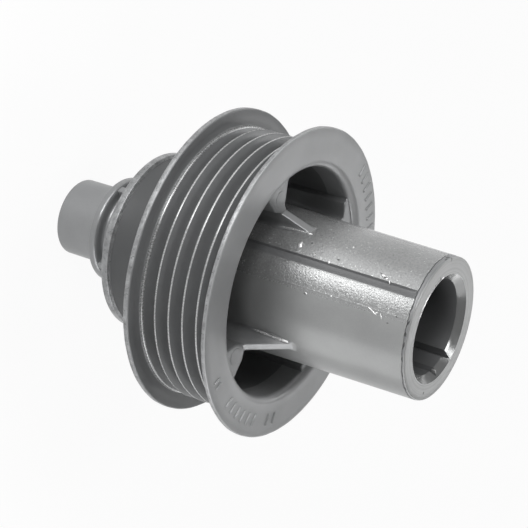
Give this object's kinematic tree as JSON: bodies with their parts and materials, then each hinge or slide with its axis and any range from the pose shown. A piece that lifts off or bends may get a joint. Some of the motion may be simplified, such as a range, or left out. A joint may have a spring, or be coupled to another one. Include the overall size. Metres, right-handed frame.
{
  "type": "belt pulley",
  "caption": "Die-cast belt pulley with a V-ribbed rim between flanges, a long hollow hub with keyways in its bore, and a short journal behind.",
  "frame": {"origin": "centre of the journal's end face, on which the pulley stands", "axes": "+Z along the axle, from the journal towards the mouth of the hub; +X lies roughly midway between two ribs of the open front"},
  "size_m": [0.0716, 0.0716, 0.0967],
  "materials": {
    "cast_aluminium": "as-cast satin with turned ends"
  },
  "bodies": {
    "root": {"pulley": "cast_aluminium"}
  },
  "joints": []
}
